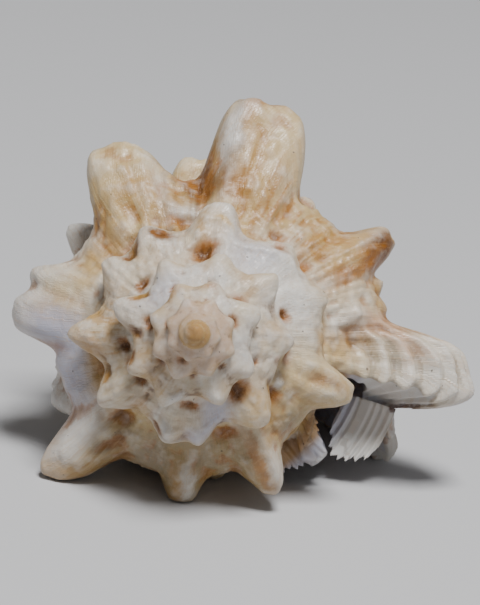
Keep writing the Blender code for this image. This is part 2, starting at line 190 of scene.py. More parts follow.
# Stains laid over the cream ground, with painted shade among them (the broad olive patches at turns 270
# and 290 darken the lower arms): turn, place across, half widths, colour, strength.
STAINS = [
    (84.0, 0.200, 14.0, 0.110, "tan", 0.40), (124.0, 0.200, 13.0, 0.110, "tan", 0.30),
    # Painted shade: the broad olive patch at turn 290 on the next line darkens the lower arms.
    (290.0, 0.190, 62.0, 0.100, "olive", 0.35), (45.0, 0.200, 14.0, 0.110, "tan", 0.30),
    (-2.0, 0.345, 12.0, 0.070, "lilac", 0.85), (2.0, 0.300, 9.0, 0.020, "white", 0.7),
    (-26.0, 0.480, 17.0, 0.140, "white", 1.0), (-8.0, 0.300, 7.0, 0.050, "lilac", 0.7),
    (0.0, 0.18, 11.0, 0.090, "white", 0.65), (6.0, 0.050, 5.0, 0.030, "tan", 0.5),
    (9.0, 0.095, 4.5, 0.026, "tan", 0.8), (9.5, 0.105, 2.5, 0.012, "brown", 0.55),
    (14.0, 0.180, 4.0, 0.060, "pink", 0.8), (8.0, 0.165, 5.0, 0.012, "pink", 0.7),
    (18.0, 0.080, 7.0, 0.060, "white", 0.5), (33.0, 0.150, 2.6, 0.050, "orange", 0.8),
    (35.0, 0.210, 4.2, 0.050, "orange", 0.9), (36.5, 0.225, 3.0, 0.036, "brown", 0.7),
    (38.5, 0.272, 5.0, 0.010, "cream", 0.9),
    (44.0, 0.055, 3.2, 0.014, "orange", 0.9), (62.0, 0.070, 3.0, 0.014, "orange", 0.8),
    (47.0, 0.110, 5.0, 0.020, "orange", 0.4), (121.0, 0.150, 8.0, 0.012, "tan", 0.7),
    (133.0, 0.300, 9.0, 0.040, "white", 0.6), (112.0, 0.120, 5.0, 0.025, "tan", 0.7),
    (78.0, 0.100, 9.0, 0.050, "tan", 0.55),
    (86.0, 0.125, 5.0, 0.022, "orange", 0.55), (96.0, 0.140, 5.0, 0.028, "brown", 0.75),
    (100.0, 0.175, 5.5, 0.035, "brown", 0.75), (103.0, 0.225, 4.5, 0.050, "orange", 0.95),
    (86.0, 0.235, 2.4, 0.036, "orange", 0.80), (80.0, 0.268, 6.0, 0.008, "orange", 0.75),
    (89.5, 0.170, 2.2, 0.050, "brown", 0.55), (92.0, 0.235, 3.0, 0.050, "brown", 0.60),
    (70.0, 0.255, 1.6, 0.030, "tan", 0.8),
    (78.0, 0.300, 13.0, 0.022, "cream", 0.9), (93.0, 0.270, 2.0, 0.050, "cream", 0.7),
    (90.0, 0.190, 1.8, 0.030, "white", 0.7), (76.0, 0.220, 6.5, 0.050, "cream", 0.8),
    (100.0, 0.065, 6.0, 0.030, "brown", 0.65), (116.0, 0.045, 5.0, 0.017, "brown", 0.85),
    (111.0, 0.078, 4.0, 0.013, "orange", 0.8), (106.0, 0.095, 7.0, 0.010, "white", 0.6),
    (133.0, 0.060, 7.0, 0.022, "brown", 0.75), (141.0, 0.100, 8.0, 0.030, "tan", 0.6),
    (113.0, 0.170, 3.0, 0.060, "white", 0.5), (119.0, 0.110, 3.0, 0.050, "tan", 0.45),
    (138.0, 0.185, 2.2, 0.060, "tan", 0.6), (124.0, 0.240, 11.0, 0.050, "cream", 0.7),
    (160.0, 0.060, 9.0, 0.030, "white", 0.6), (163.0, 0.048, 10.0, 0.005, "tan", 0.5),
    (170.0, 0.240, 18.0, 0.060, "white", 0.8), (98.0, 0.450, 14.0, 0.060, "cream", 0.9),
    (145.0, 0.450, 10.0, 0.070, "white", 0.9), (200.0, 0.175, 20.0, 0.070, "lilac", 0.9),
    (184.0, 0.140, 9.0, 0.045, "lilac", 0.8), (205.0, 0.420, 20.0, 0.120, "white", 0.9),
    (202.0, 0.040, 11.0, 0.038, "tan", 0.85), (199.0, 0.045, 3.0, 0.012, "brown", 0.6),
    (226.0, 0.050, 8.0, 0.030, "tan", 0.6), (231.0, 0.062, 4.0, 0.020, "gold", 0.8),
    (233.0, 0.080, 3.5, 0.014, "brown", 0.6), (236.0, 0.132, 3.2, 0.025, "brown", 0.85),
    (225.0, 0.165, 6.0, 0.050, "white", 0.7), (232.0, 0.230, 6.0, 0.040, "tan", 0.7),
    # Painted shade: the olive patch at turn 270 on the next line darkens the lower arms.
    (270.0, 0.130, 32.0, 0.090, "olive", 0.55), (292.0, 0.062, 5.0, 0.018, "brown", 0.8),
    (267.0, 0.200, 3.0, 0.060, "tan", 0.7), (272.0, 0.180, 2.6, 0.060, "white", 0.55),
    (309.0, 0.210, 4.0, 0.080, "white", 0.55), (302.5, 0.170, 2.2, 0.070, "orange", 0.6),
    (319.0, 0.120, 7.0, 0.050, "tan", 0.5), (326.0, 0.170, 7.0, 0.050, "olive", 0.45),
    (329.0, 0.050, 3.6, 0.040, "orange", 0.9), (341.0, 0.042, 4.0, 0.030, "brown", 0.65),
    (337.0, 0.052, 2.6, 0.015, "white", 0.9), (352.0, 0.170, 12.0, 0.090, "cream", 0.8),
    (355.5, 0.056, 5.0, 0.014, "orange", 0.8), (367.0, 0.205, 6.0, 0.035, "tan", 0.4),
    (400.0, 0.100, 36.0, 0.100, "white", 0.85), (427.0, 0.120, 14.0, 0.080, "lilac", 0.45),
    (382.9, 0.066, 4.0, 0.016, "orange", 0.95), (417.0, 0.205, 3.0, 0.030, "pink", 0.7),
    (366.0, 0.210, 6.0, 0.030, "tan", 0.5), (457.0, 0.160, 3.0, 0.050, "tan", 0.7),
    (455.0, 0.086, 8.0, 0.032, "orange", 1.0), (454.0, 0.080, 4.5, 0.018, "brown", 0.55),
    (447.0, 0.176, 4.0, 0.010, "gold", 0.8), (478.0, 0.205, 5.0, 0.035, "brown", 0.95),
    (479.0, 0.210, 3.0, 0.020, "dark", 0.7), (500.0, 0.040, 10.0, 0.025, "white", 0.5),
    (505.5, 0.077, 6.0, 0.014, "brown", 0.95), (503.0, 0.055, 5.0, 0.011, "pink", 0.6),
    (495.0, 0.208, 6.0, 0.028, "brown", 0.7), (545.0, 0.125, 18.0, 0.016, "tan", 0.6),
    (551.0, 0.200, 7.0, 0.050, "orange", 0.55), (534.0, 0.215, 3.0, 0.030, "tan", 0.7),
    (552.5, 0.080, 5.0, 0.025, "dark", 0.8), (565.0, 0.080, 4.0, 0.020, "orange", 0.7),
    (583.0, 0.078, 5.0, 0.017, "brown", 0.9), (595.0, 0.080, 4.0, 0.014, "brown", 0.75),
    (568.0, 0.140, 14.0, 0.060, "olive", 0.35), (567.0, 0.205, 4.0, 0.020, "orange", 0.7),
    (629.0, 0.083, 7.0, 0.013, "orange", 0.95), (616.0, 0.180, 4.0, 0.030, "white", 0.7),
    (613.0, 0.222, 5.0, 0.018, "brown", 0.7), (625.0, 0.222, 4.0, 0.018, "brown", 0.6),
    (636.0, 0.200, 7.0, 0.030, "lilac", 0.7), (650.0, 0.140, 10.0, 0.090, "lilac", 0.8),
    (672.5, 0.090, 9.5, 0.034, "orange", 1.0), (671.0, 0.082, 5.0, 0.018, "brown", 0.6),
    (676.0, 0.160, 8.0, 0.050, "gold", 0.55), (692.0, 0.215, 5.0, 0.030, "brown", 0.8),
    (703.5, 0.077, 4.0, 0.013, "orange", 0.85), (712.0, 0.200, 3.0, 0.030, "pink", 0.7),
    (715.0, 0.050, 8.0, 0.030, "white", 0.6), (734.0, 0.100, 6.0, 0.100, "tan", 0.35),
    (767.0, 0.050, 7.0, 0.034, "orange", 0.9), (778.0, 0.050, 5.0, 0.030, "pink", 0.5),
    (777.0, 0.180, 4.0, 0.040, "tan", 0.6), (768.0, 0.120, 3.0, 0.050, "tan", 0.55),
    (830.0, 0.120, 45.0, 0.120, "white", 0.65), (860.0, 0.100, 20.0, 0.080, "lilac", 0.5),
    (803.0, 0.072, 4.0, 0.016, "orange", 0.6), (845.0, 0.075, 5.0, 0.016, "orange", 0.8),
    (871.0, 0.210, 6.0, 0.030, "tan", 0.75), (812.0, 0.180, 5.0, 0.050, "tan", 0.4),
    (893.5, 0.078, 7.5, 0.032, "orange", 0.95), (894.0, 0.080, 5.0, 0.018, "brown", 0.8),
    (903.0, 0.160, 4.0, 0.050, "brown", 0.7), (925.0, 0.218, 5.0, 0.030, "brown", 0.8),
    (943.0, 0.060, 5.0, 0.032, "brown", 0.7), (935.0, 0.150, 26.0, 0.100, "tan", 0.4),
    (990.0, 0.120, 12.0, 0.100, "olive", 0.30), (978.0, 0.200, 5.0, 0.030, "white", 0.8),
    (1012.0, 0.180, 6.0, 0.040, "white", 0.8), (1075.0, 0.130, 22.0, 0.100, "white", 0.8),
    (990.0, 0.045, 6.0, 0.018, "orange", 0.7), (1035.0, 0.060, 6.0, 0.018, "orange", 0.5),
    (1108.0, 0.066, 10.0, 0.036, "orange", 0.9), (1205.0, 0.200, 8.0, 0.030, "orange", 0.8),
    (1163.0, 0.195, 8.0, 0.030, "orange", 0.8), (1177.0, 0.030, 9.0, 0.030, "orange", 0.6),
    (1140.0, 0.120, 14.0, 0.080, "white", 0.6), (1327.0, 0.089, 10.0, 0.032, "orange", 0.8),
    (1250.0, 0.070, 8.0, 0.024, "orange", 0.6), (1290.0, 0.200, 8.0, 0.026, "tan", 0.7),
]

# Fields of fine growth streaks: turn, place across, half widths, colour, strength.
STREAKS = [
    (70.0, 0.110, 24.0, 0.070, "orange", 0.85), (130.0, 0.130, 22.0, 0.080, "tan", 0.75),
    (104.0, 0.150, 10.0, 0.090, "brown", 0.6), (45.0, 0.180, 16.0, 0.100, "tan", 0.6),
    (235.0, 0.200, 8.0, 0.080, "tan", 0.8), (270.0, 0.200, 9.0, 0.070, "tan", 0.7),
    (303.0, 0.220, 9.0, 0.070, "tan", 0.7), (550.0, 0.150, 30.0, 0.080, "tan", 0.7),
    (325.0, 0.120, 18.0, 0.080, "tan", 0.7), (945.0, 0.150, 30.0, 0.100, "tan", 0.5),
    (3.0, 0.200, 10.0, 0.120, "tan", 0.35), (180.0, 0.200, 22.0, 0.080, "tan", 0.15),
    (590.0, 0.170, 20.0, 0.080, "orange", 0.35), (490.0, 0.150, 20.0, 0.080, "tan", 0.4),
]


def smooth_line(points, count):
    """Evenly spaced points on a soft curve through the given points."""
    pts = np.array(points, dtype=float)
    ends = np.vstack([2 * pts[0] - pts[1], pts, 2 * pts[-1] - pts[-2]])
    fine = []
    for i in range(1, len(ends) - 2):
        for u in np.linspace(0.0, 1.0, 16, endpoint=False):
            a, b, c, d = ends[i - 1], ends[i], ends[i + 1], ends[i + 2]
            fine.append(0.5 * (2 * b + (c - a) * u + (2 * a - 5 * b + 4 * c - d) * u ** 2
                               + (3 * b - a - 3 * c + d) * u ** 3))
    fine.append(pts[-1])
    fine = np.array(fine)
    run = np.concatenate([[0.0], np.cumsum(np.linalg.norm(np.diff(fine, axis=0), axis=1))])
    wanted = np.linspace(0.0, run[-1], count)
    return np.column_stack([np.interp(wanted, run, fine[:, i]) for i in range(fine.shape[1])])


def size_at(turn):
    """Size of the spiral this far back from the lip, against the full-grown whorl."""
    return np.exp(-GROWTH * turn / 360.0)


def hump(distance, half_width, bluntness):
    """Soft mound, half as high at the half width; more bluntness flattens its top."""
    return np.exp(-0.693 * np.abs(distance / half_width) ** bluntness)


def place(turn, reach, drop):
    """Point on the spiral from the turn back from the lip, the reach and the drop."""
    scale = BODY_RADIUS * size_at(turn)
    angle = np.radians(MOUTH_ANGLE + turn)
    return np.stack([reach * scale * np.cos(angle), drop * scale,
                     reach * scale * np.sin(angle)], axis=-1)


def wave_noise(x, seed):
    """Smooth wandering value between -1 and 1 along x, the same every run."""
    table = np.random.default_rng(seed).uniform(-1.0, 1.0, 4096)
    low = np.floor(x).astype(int)
    u = x - low
    u = u * u * (3 - 2 * u)
    return table[low % 4096] * (1 - u) + table[(low + 1) % 4096] * u


def patch_noise(x, y, seed):
    """Smooth wandering value between -1 and 1 over x and y, the same every run."""
    table = np.random.default_rng(seed).uniform(-1.0, 1.0, (256, 256))
    xi = np.floor(x).astype(int)
    yi = np.floor(y).astype(int)
    u = x - xi
    v = y - yi
    u = u * u * (3 - 2 * u)
    v = v * v * (3 - 2 * v)
    a = table[xi % 256, yi % 256]
    b = table[(xi + 1) % 256, yi % 256]
    c = table[xi % 256, (yi + 1) % 256]
    d = table[(xi + 1) % 256, (yi + 1) % 256]
    return (a * (1 - u) + b * u) * (1 - v) + (c * (1 - u) + d * u) * v


def ramp(value, low, high):
    """Smooth step from 0 at low to 1 at high."""
    u = np.clip((value - low) / (high - low), 0, 1)
    return u * u * (3 - 2 * u)


def lead_at(s):
    """Degrees by which the growth line runs ahead of the ramp."""
    return np.interp(s, [p[0] for p in LEAD], [p[1] for p in LEAD])


def rest_matrix():
    """Placing of the upright spiral as the shell lies on the surface."""
    rise = Matrix.Rotation(math.radians(-AXIS_RISE), 4, 'X')
    swing = Matrix.Rotation(math.radians(AXIS_SWING), 4, 'Z')
    roll = Matrix.Rotation(math.radians(-AXIS_ROLL), 4, 'Y')
    return Matrix.Translation(APEX_AT) @ roll @ rise @ swing


def settle(points):
    """Turn anything that would dip into the resting surface flat along it."""
    stand = np.array(rest_matrix())
    placed = points @ stand[:3, :3].T + stand[:3, 3]
    height = placed[..., 2]
    low = height < SETTLE
    flattened = SETTLE * np.exp(np.minimum(0.0, height - SETTLE) / SETTLE)
    placed[..., 2] = np.where(low, flattened, height)
    return (placed - stand[:3, 3]) @ stand[:3, :3]


def spread(turn, s, spots):
    """Sum of soft round spots given as turn, place across, half widths and height."""
    total = np.zeros_like(turn)
    for centre, across, half_turn, half_across, height in spots:
        total += height * hump(turn - centre, half_turn, 2.4) * hump(s - across, half_across, 2.4)
    return total


def big_relief(turn, s, growth_turn):
    """Knobs, old lips and the flared outer lip, as extra reach in body radii."""
    extra = np.zeros_like(turn)
    above = np.where(s < 0.27, 0.105, 0.060)
    scallop = 1.0 + 0.03 * wave_noise(turn / 3.4, 11) * hump(s - 0.27, 0.06, 2.0)
    for centre, reach, half, blunt in SHOULDER_KNOBS:
        extra += (reach - 1.0) * hump(turn - centre, half, blunt) * hump(s - 0.27, above, 2.4)
    extra *= scallop
    for row, height, half in LOWER_ROWS:
        for centre in LOWER_TURNS:
            extra += height * hump(turn - centre, half, 2.4) * hump(s - row, 0.035, 2.2)
    extra += spread(turn, s, LOBES)
    for centre, height in RIBS:
        edge = np.clip(s / 0.2, 0, 1) * np.clip((1.0 - s) / 0.2, 0, 1)
        skirt = 1.0 + 1.3 * hump(s - 0.50, 0.11, 2.6)
        torn = 1.0 + 0.35 * wave_noise(s * 34.0, 12)
        extra += height * skirt * torn * hump(growth_turn - centre, 5.0, 2.4) * edge
    flare = hump(s - 0.47, 0.11, 4.0) * hump(growth_turn, 7.0, 3.0)
    extra += 0.075 * flare * (1.0 + 0.45 * np.cos(2 * np.pi * s / FLUTE))
    return extra


def fine_relief(turn, s, growth_turn):
    """Cords, growth lines, pits and beads, in body radii along the outward direction."""
    below = np.clip((s - 0.28) / 0.08, 0, 1)
    smooth = np.clip(1.0 - spread(turn, s, SMOOTH_PATCHES), 0.15, 1.0)
    cords = np.cos(2 * np.pi * 34 * s + 0.9 * wave_noise(turn / 30.0, 3))
    beads = 0.55 + 0.45 * np.cos(2 * np.pi * turn / 3.4 + 1.5 * wave_noise(turn / 9.0, 4))
    lines = wave_noise(growth_turn / 1.5, 5) + 0.7 * wave_noise(growth_turn / 0.8, 6)
    lumps = patch_noise(turn / 7.0, s * 26.0, 7) + 0.6 * patch_noise(turn / 3.0, s * 55.0, 8)
    small = patch_noise(turn / 1.6, s * 110.0, 9)
    arm_cords = np.cos(2 * np.pi * s / ARM_CORD + 0.5 * wave_noise(turn / 5.0, 15))
    arm_cords *= hump(turn - 1.0, 10.0, 4.0) * hump(s - 0.19, 0.10, 4.0)
    relief = (0.0025 + 0.0095 * below) * cords * beads
    relief += (0.0050 - 0.0015 * below) * lines
    relief += 0.0130 * lumps + 0.0070 * small + 0.020 * arm_cords
    spire = ramp(turn, 330.0, 420.0)
    crinkle = np.abs(patch_noise(growth_turn / 6.0, s * 20.0, 16))
    relief += spire * (0.018 * (0.35 - crinkle) + 0.006 * small) * ramp(s, 0.02, 0.06)
    relief *= smooth
    relief += spread(turn, s, PITS) + spread(turn, s, BEADS) + spread(turn, s, FLAKES)
    return relief


def blurred(field, rows, columns):
    """Box blur done twice, with the edges held."""
    for _ in range(2):
        for axis, half in ((0, rows), (1, columns)):
            width = [(0, 0), (0, 0)]
            width[axis] = (half + 1, half)
            run = np.cumsum(np.pad(field, width, mode="edge"), axis=axis)
            size = field.shape[axis]
            high = np.take(run, np.arange(2 * half + 1, 2 * half + 1 + size), axis=axis)
            low = np.take(run, np.arange(0, size), axis=axis)
            field = (high - low) / (2 * half + 1)
    return field


def build_whorls():
    """Sculpted grid of the whole outside, with what the paint needs to know of it."""
    count = int(2.75 * BODY_RADIUS / FINE_STEP)
    outline = smooth_line(OUTLINE, count)
    s = np.linspace(0.0, 1.0, count)
    slope = np.gradient(outline, axis=0)
    slope /= np.linalg.norm(slope, axis=1)[:, None]
    normal = np.column_stack([slope[:, 1], -slope[:, 0]])
    turns = [0.0]
    while turns[-1] < SPIRE_TURNS * 360.0:
        radius = BODY_RADIUS * math.exp(-GROWTH * turns[-1] / 360.0)
        turns.append(turns[-1] + max(0.6, min(3.0, math.degrees(FINE_STEP / radius))))
    growth_turn = np.array(turns)[:, None] * np.ones(count)[None, :]
    s_all = np.ones(len(turns))[:, None] * s[None, :]
    flutes = np.cos(2 * np.pi * s_all / FLUTE) * hump(s_all - 0.47, 0.11, 4.0)
    flutes += 0.5 * np.cos(2 * np.pi * s_all / ARM_CORD) * hump(s_all - 0.22, 0.10, 4.0)
    turn = growth_turn - lead_at(s_all) - 2.2 * flutes * hump(growth_turn, 4.0, 2.0)
    big = big_relief(turn, s_all, growth_turn)
    fine = fine_relief(turn, s_all, growth_turn)
    reach = outline[None, :, 0] + big + fine * normal[None, :, 0]
    drop = outline[None, :, 1] - 0.10 * big + fine * normal[None, :, 1]
    points = settle(place(turn, reach, drop))
    axis_drop = np.linspace(2.75, 0.75, 8)
    inner_turn = growth_turn[:, :1] * np.ones(8)[None, :]
    even = np.ones_like(inner_turn)
    inner = place(inner_turn, 0.012 * even, axis_drop[None, :] * even)
    rings = np.concatenate([points, inner], axis=1)
    # How far each place lies below the blurred surface around it; the paint uses it for painted shade
    # and brown in the hollows.
    level = big * 0.35 + fine
    hollowness = blurred(level, 5, 5) - level
    facts = {"turn": turn, "s": s_all, "growth": growth_turn, "hollowness": hollowness}
    return rings, facts


def mesh_object(name, vertices, faces):
    mesh = bpy.data.meshes.new(name)
    mesh.from_pydata(vertices.tolist(), [], faces)
    body = bmesh.new()
    body.from_mesh(mesh)
    bmesh.ops.recalc_face_normals(body, faces=body.faces)
    body.to_mesh(mesh)
    body.free()
    thing = bpy.data.objects.new(name, mesh)
    bpy.context.scene.collection.objects.link(thing)
    return thing


def closed_sweep(name, rings):
    """Skin equal rings, given as an array of rings by points by 3, and close both ends."""
    rings = np.asarray(rings)
    n, count = rings.shape[:2]
    i, j = np.meshgrid(np.arange(n - 1), np.arange(count), indexing='ij')
    k = (j + 1) % count
    quads = np.stack([i * count + j, i * count + k, (i + 1) * count + k, (i + 1) * count + j], -1)
    faces = quads.reshape(-1, 4).tolist()
    vertices = rings.reshape(-1, 3)
    hubs = []
    for first in (0, (n - 1) * count):
        hub = len(vertices) + len(hubs)
        hubs.append(vertices[first:first + count].mean(axis=0))
        for q in range(count):
            faces.append((first + q, first + (q + 1) % count, hub))
    vertices = np.vstack([vertices, hubs])
    return mesh_object(name, vertices, faces)


def build_pillar():
    """Twisted pillar round the axis, running down into the canal."""
    stations = smooth_line([(1.70, 0.18, 0.00), (2.00, 0.18, 0.00), (2.25, 0.18, 0.01),
                            (2.50, 0.175, 0.02), (2.70, 0.165, 0.03), (2.81, 0.12, 0.04)], 90)
    rings = []
    for drop, radius, lean in stations:
        angle = np.linspace(0, 2 * np.pi, 72, endpoint=False)
        cord = np.cos(2 * np.pi * (drop + 0.02 * angle) / 0.062)
        radius = radius + 0.007 * cord + 0.004 * wave_noise(angle * 6.0 + drop * 9.0, 17)
        rings.append(settle(np.stack([radius * np.cos(angle) - lean, drop + 0 * angle,
                                      radius * np.sin(angle) + lean], -1) * BODY_RADIUS))
    return closed_sweep("pillar", rings)


def build_hollow():
    """Space inside the last whorl, open at the mouth."""
    loop = smooth_line(HOLLOW + HOLLOW[:1], 161)[:-1]
    rings = []
    for turn in np.arange(-52.0, MOUTH_DEPTH_TURN + 0.1, 1.5):
        fade = min(1.0, max(0.0, turn / TAIL_FADE_TURN))
        shrink = 1.0 - 0.55 * max(0.0, (turn - 60.0) / (MOUTH_DEPTH_TURN - 60.0)) ** 2
        reach, drop = loop[:, 0].copy(), loop[:, 1].copy()
        low = drop > HOLLOW_TAIL
        drop[low] = HOLLOW_TAIL + (drop[low] - HOLLOW_TAIL) * (1.0 - fade)
        reach[low] += fade * np.maximum(0.0, 0.30 - reach[low]) * 0.6
        reach = 0.55 + (reach - 0.55) * shrink
        drop = 1.60 + (drop - 1.60) * shrink
        rings.append(place(turn + 0 * reach, reach, drop))
    return closed_sweep("mouth_hollow", rings)


def build_inner_lip():
    """Free sheet that runs from the pillar along the inner side of the mouth."""
    edge = smooth_line(INNER_LIP, 60)
    half = INNER_LIP_THICK / 2
    rings = []
    for i, (reach, drop, angle) in enumerate(edge):
        reach += 0.022 * float(wave_noise(np.array(i * 0.37), 14))
        angle += 1.6 * math.cos(i * 0.9)
        w = np.linspace(0.0, 1.0, 24)
        here = np.radians(338.0 + (angle - 338.0) * w ** 1.3)
        radius = (0.10 + (reach - 0.10) * w) * BODY_RADIUS
        height = (drop + 0.05 * (1.0 - w)) * BODY_RADIUS
        centre = np.stack([radius * np.cos(here), height, radius * np.sin(here)], -1)
        across = np.stack([-np.sin(here), 0 * here, np.cos(here)], -1)
        thin = (half * (1.0 - 0.45 * w))[:, None]
        rings.append(settle(np.concatenate([centre + across * thin, (centre - across * thin)[::-1]])))
    return closed_sweep("inner_lip", rings)


def build_lip_flange():
    """Fluted edge of the outer lip, turned out so that it faces the spire."""
    rings = []
    for reach, end in smooth_line(LIP_FLANGE, 70):
        end += 0.9 * math.cos(2 * math.pi * reach / 0.040) + 0.5 * math.cos(reach * 610.0)
        turn = np.linspace(-11.0, end, 30)
        share = np.linspace(0.0, 1.0, 30)
        wave = np.cos(2 * np.pi * reach / 0.040 + 0.6 * share)
        drop = 1.480 - 0.07 * share + (0.005 + 0.007 * share) * wave
        thick = 0.030 - 0.012 * share
        front = place(turn, reach / size_at(turn), (drop - thick / 2) / size_at(turn))
        rear = place(turn, reach / size_at(turn), (drop + thick / 2) / size_at(turn))
        rings.append(settle(np.concatenate([front, rear[::-1]])))
    return closed_sweep("lip_flange", rings)


def build_shield():
    """Thin torn sheet of the inner lip, standing out over the old whorl."""
    rings = []
    for i, (turn, edge) in enumerate(smooth_line(SHIELD, 90)):
        edge += 0.010 * math.cos(i * 1.1) + 0.008 * math.cos(i * 0.43)
        reach = np.linspace(0.42, edge, 30)
        share = np.linspace(0.0, 1.0, 30)
        drop = 1.215 + 0.085 * share ** 2 + 0.012 * math.cos(turn / 2.2)
        thick = 0.050 - 0.026 * share
        size = size_at(turn)
        front = place(turn + 0 * reach, reach / size, (drop - thick / 2) / size)
        rear = place(turn + 0 * reach, reach / size, (drop + thick / 2) / size)
        rings.append(settle(np.concatenate([front, rear[::-1]])))
    return closed_sweep("inner_shield", rings)


def frozen(thing, name):
    """The object as its modifiers leave it, under the given name."""
    bpy.context.view_layer.update()
    graph = bpy.context.evaluated_depsgraph_get()
    mesh = bpy.data.meshes.new_from_object(thing.evaluated_get(graph))
    bpy.data.objects.remove(thing, do_unlink=True)
    plain = bpy.data.objects.new(name, mesh)
    bpy.context.scene.collection.objects.link(plain)
    return plain


def join(things, name):
    """One object from several, their meshes side by side."""
    both = bmesh.new()
    for thing in things:
        both.from_mesh(thing.data)
    mesh = bpy.data.meshes.new(name)
    both.to_mesh(mesh)
    both.free()
    for thing in things:
        bpy.data.objects.remove(thing, do_unlink=True)
    body = bpy.data.objects.new(name, mesh)
    bpy.context.scene.collection.objects.link(body)
    return body


def apply_boolean(body, other, operation):
    """The body after joining or cutting with the other, which is used up."""
    cut = body.modifiers.new("cut", 'BOOLEAN')
    cut.operation = operation
    cut.solver = 'MANIFOLD'
    cut.object = other
    result = frozen(body, body.name)
    bpy.data.objects.remove(other, do_unlink=True)
    return result


def without_crumbs(body):
    """Keep the shell alone and drop the loose crumbs that cutting and joining leave."""
    edges = np.empty(len(body.data.edges) * 2, dtype=np.int32)
    body.data.edges.foreach_get("vertices", edges)
    one, other = edges.reshape(-1, 2).T
    label = np.arange(len(body.data.vertices))
    while True:
        lowest = np.minimum(label[one], label[other])
        joined = label.copy()
        np.minimum.at(joined, label[one], lowest)
        np.minimum.at(joined, label[other], lowest)
        joined = joined[joined]
        if np.array_equal(joined, label):
            break
        label = joined
    crumbs = np.flatnonzero(label != np.bincount(label).argmax())
    clean = bmesh.new()
    clean.from_mesh(body.data)
    clean.verts.ensure_lookup_table()
    bmesh.ops.delete(clean, geom=[clean.verts[i] for i in crumbs], context='VERTS')
    clean.to_mesh(body.data)
    clean.free()


def linear(colour):
    """Linear light values of a named colour."""
    share = np.array(COLOURS[colour]) / 255.0
    return np.where(share <= 0.04045, share / 12.92, ((share + 0.055) / 1.055) ** 2.4)


def mixed(ground, colour, amount):
    """Ground blended towards a named colour by the given amount."""
    return ground + (linear(colour) - ground) * np.clip(amount, 0, 1)[:, None]


def shell_tint(turn, s, growth_turn, hollowness):
    """Colour of the outside at places given in the shell's own turn and outline, with painted shade in
    its hollows and on the lower arms.
    """
    t = turn + 1.6 * patch_noise(turn / 4.5, s * 34.0, 21)
    t += 0.9 * patch_noise(turn / 1.7, s * 80.0, 22)
    a = s + 0.006 * patch_noise(turn / 4.0, s * 34.0, 23)
    a += 0.004 * patch_noise(turn / 1.5, s * 80.0, 24)
    ground = np.ones((len(turn), 3)) * linear("cream")
    ground = mixed(ground, "tan", 0.30 + 0.50 * patch_noise(turn / 11.0, s * 13.0, 25))
    ground = mixed(ground, "white", 0.14 + 0.45 * patch_noise(turn / 8.0, s * 18.0, 26))
    ground = mixed(ground, "white", 0.45 * ramp(turn, 350.0, 420.0))
    flank = ramp(s, 0.29, 0.36)
    cords = 0.5 - 0.5 * np.cos(2 * np.pi * 34 * s + 0.9 * wave_noise(turn / 30.0, 3))
    patchy = ramp(patch_noise(turn / 9.0, s * 9.0, 27), -0.2, 0.5)
    ground = mixed(ground, "orange", 0.75 * flank * cords * patchy)
    darker = ramp(patch_noise(turn / 6.0, s * 14.0, 28), 0.2, 0.7)
    ground = mixed(ground, "brown", 0.55 * flank * cords * darker)
    grain = wave_noise(growth_turn / 0.9, 31) + 0.8 * patch_noise(growth_turn / 0.7, s * 30.0, 32)
    for centre, across, half_turn, half_across, colour, strength in STREAKS:
        field = hump(t - centre, half_turn, 3.0) * hump(a - across, half_across, 3.0)
        ground = mixed(ground, colour, strength * field * ramp(grain, 0.0, 0.9))
    for centre, across, half_turn, half_across, colour, strength in STAINS:
        field = hump(t - centre, half_turn, 3.2) * hump(a - across, half_across, 3.2)
        ground = mixed(ground, colour, strength * field)
    for centre, across, half_turn, half_across, depth in PITS:
        inside = hump(t - centre, half_turn, 3.0) * hump(a - across, half_across, 3.0)
        core = hump(t - centre, 0.6 * half_turn, 2.4)
        core *= hump(a - across + 0.003, 0.6 * half_across, 2.4)
        strength = min(1.0, -depth / 0.040) * (centre > 240.0)
        ground = mixed(ground, "orange", 0.95 * inside * strength)
        ground = mixed(ground, "brown", 0.70 * core * strength)
    ground = mixed(ground, "pink", 0.55 * ramp(turn, 1120.0, 1420.0))
    ground = mixed(ground, "gold", 0.75 * ramp(turn, 1850.0, 2080.0))
    ground = mixed(ground, "orange", 0.40 * ramp(turn, 1980.0, 2120.0) * ramp(s, 0.30, 0.05))
    # Painted shade in the hollows, together with the shell's own brown there: the deeper a place lies
    # below its surroundings, the more orange (olive on the lip arm) and then brown it gets.
    grown = ramp(turn, 360.0, 300.0)
    arm = hump(turn, 11.0, 6.0) * ramp(s, 0.06, 0.12)
    hollow_stain_and_shade = ramp(hollowness, 0.002, 0.012)
    ground = mixed(ground, "orange", (0.12 + 0.43 * grown) * (1.0 - arm) * hollow_stain_and_shade)
    ground = mixed(ground, "olive", 0.38 * arm * ramp(hollowness, 0.001, 0.010))
    ground = mixed(ground, "brown", 0.70 * ramp(hollowness, 0.010, 0.032))
    tips = ramp(turn, 420.0, 480.0) * hump(s - 0.25, 0.07, 3.0)
    tips *= ramp(patch_noise(turn / 13.0, s, 29), -0.3, 0.4)
    ground = mixed(ground, "gold", 0.40 * tips)
    ground = mixed(ground, "white", 0.30 * ramp(-hollowness, 0.004, 0.020))
    return ground


